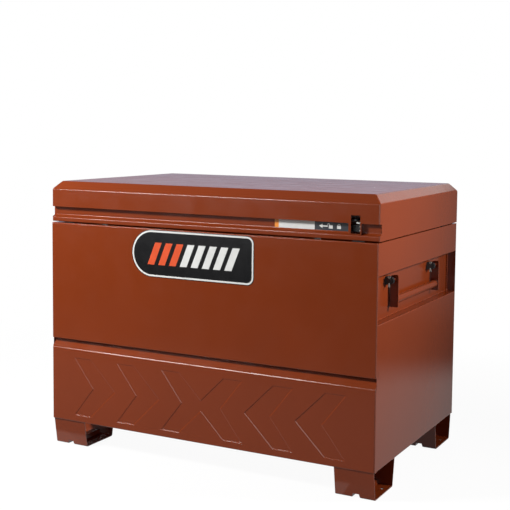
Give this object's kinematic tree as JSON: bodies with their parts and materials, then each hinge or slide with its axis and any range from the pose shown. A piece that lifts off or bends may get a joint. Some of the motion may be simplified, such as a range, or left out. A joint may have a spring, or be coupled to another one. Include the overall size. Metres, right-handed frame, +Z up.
{
  "type": "jobsite storage box",
  "caption": "Steel jobsite storage chest on channel feet, with a hinged lid, gas springs, sliding latch and recessed drop handles.",
  "frame": {"origin": "on the floor, under the middle of the chest's bounding box", "axes": "+X to the right, +Y to the back, +Z up; the front of the chest faces -Y"},
  "size_m": [1.223, 0.7728, 0.9305],
  "materials": {
    "brown_paint": "gloss powder coat",
    "black_plastic": "matte",
    "black_rubber": "matte",
    "zinc_plate": "dull zinc plate",
    "black_enamel": "satin enamel",
    "polished_rod": "polished",
    "marker_print": "satin print with a pale border",
    "label_print": "gloss print"
  },
  "bodies": {
    "chest": {"front_upper_panel": "brown_paint", "front_kick_panel": "brown_paint", "right_end_panel": "brown_paint", "left_end_panel": "brown_paint", "back_panel": "brown_paint", "bottom_panel": "brown_paint", "recess_weld_beads": "brown_paint", "front_rim": "brown_paint", "rear_rim": "brown_paint", "right_end_rim": "brown_paint", "left_end_rim": "brown_paint", "latch_keepers": "brown_paint", "lid_rest_pads": "black_rubber", "right_front_foot": "brown_paint", "left_front_foot": "brown_paint", "right_rear_foot": "brown_paint", "left_rear_foot": "brown_paint", "right_pivot_blocks": "black_plastic", "left_pivot_blocks": "black_plastic", "right_pivot_pins": "brown_paint", "left_pivot_pins": "brown_paint", "pivot_rings": "zinc_plate", "pivot_block_screws": "zinc_plate", "split_pins": "zinc_plate", "hinge_body_leaf": "brown_paint", "hinge_pin": "zinc_plate", "hinge_body_rivets": "brown_paint", "spring_body_brackets": "brown_paint", "spring_body_studs": "zinc_plate", "marker_plate": "marker_print"},
    "lid": {"lid_skin": "brown_paint", "right_lid_end": "brown_paint", "left_lid_end": "brown_paint", "lid_front_channel": "brown_paint", "lid_stiffeners": "brown_paint", "lock_housing": "brown_paint", "padlock_hasp": "black_enamel", "latch_guides": "black_plastic", "hinge_lid_leaf": "brown_paint", "hinge_lid_rivets": "brown_paint", "spring_lid_brackets": "brown_paint", "spring_lid_studs": "zinc_plate", "lock_label": "label_print"},
    "latch": {"latch_bar": "black_enamel", "latch_tab": "zinc_plate", "latch_hooks": "black_enamel", "latch_rivets": "zinc_plate"},
    "right_handle": {"right_handle_arms": "brown_paint", "right_handle_grip": "brown_paint"},
    "left_handle": {"left_handle_arms": "brown_paint", "left_handle_grip": "brown_paint"},
    "right_spring_tube": {"right_spring_cylinder": "black_enamel", "right_spring_lower_socket": "black_plastic"},
    "right_spring_piston": {"right_spring_rod": "polished_rod", "right_spring_upper_socket": "black_plastic"},
    "left_spring_tube": {"left_spring_cylinder": "black_enamel", "left_spring_lower_socket": "black_plastic"},
    "left_spring_piston": {"left_spring_rod": "polished_rod", "left_spring_upper_socket": "black_plastic"}
  },
  "joints": [
    {"name": "lid_hinge", "type": "hinge", "parent": "chest", "child": "lid", "pos_m": [0, 0.3814, 0.7885], "axis": [-1, 0, 0], "range_deg": [0, 85]},
    {"name": "latch_slide", "type": "slide", "parent": "lid", "child": "latch", "axis": [-1, 0, 0], "range_m": [0, 0.016]},
    {"name": "right_handle_pivot", "type": "hinge", "parent": "chest", "child": "right_handle", "pos_m": [0.5915, 0, 0.656], "axis": [0, -1, 0], "range_deg": [0, 90]},
    {"name": "left_handle_pivot", "type": "hinge", "parent": "chest", "child": "left_handle", "pos_m": [-0.5915, 0, 0.656], "axis": [0, 1, 0], "range_deg": [0, 90]},
    {"name": "right_spring_swing", "type": "hinge", "parent": "chest", "child": "right_spring_tube", "pos_m": [0.56, 0.2444, 0.713], "axis": [-1, 0, 0], "range_deg": [0, 20.19]},
    {"name": "right_spring_stroke", "type": "slide", "parent": "right_spring_tube", "child": "right_spring_piston", "axis": [0, 0.5485, 0.8361], "range_m": [0, 0.07649]},
    {"name": "left_spring_swing", "type": "hinge", "parent": "chest", "child": "left_spring_tube", "pos_m": [-0.56, 0.2444, 0.713], "axis": [-1, 0, 0], "range_deg": [0, 20.19]},
    {"name": "left_spring_stroke", "type": "slide", "parent": "left_spring_tube", "child": "left_spring_piston", "axis": [0, 0.5485, 0.8361], "range_m": [0, 0.07649]}
  ],
  "couplings": [
    {"joint": "right_spring_swing", "follows": "lid_hinge", "ratio": 0.23737},
    {"joint": "right_spring_stroke", "follows": "lid_hinge", "m_per_rad": 0.051556},
    {"joint": "left_spring_swing", "follows": "lid_hinge", "ratio": 0.23737},
    {"joint": "left_spring_stroke", "follows": "lid_hinge", "m_per_rad": 0.051556}
  ]
}
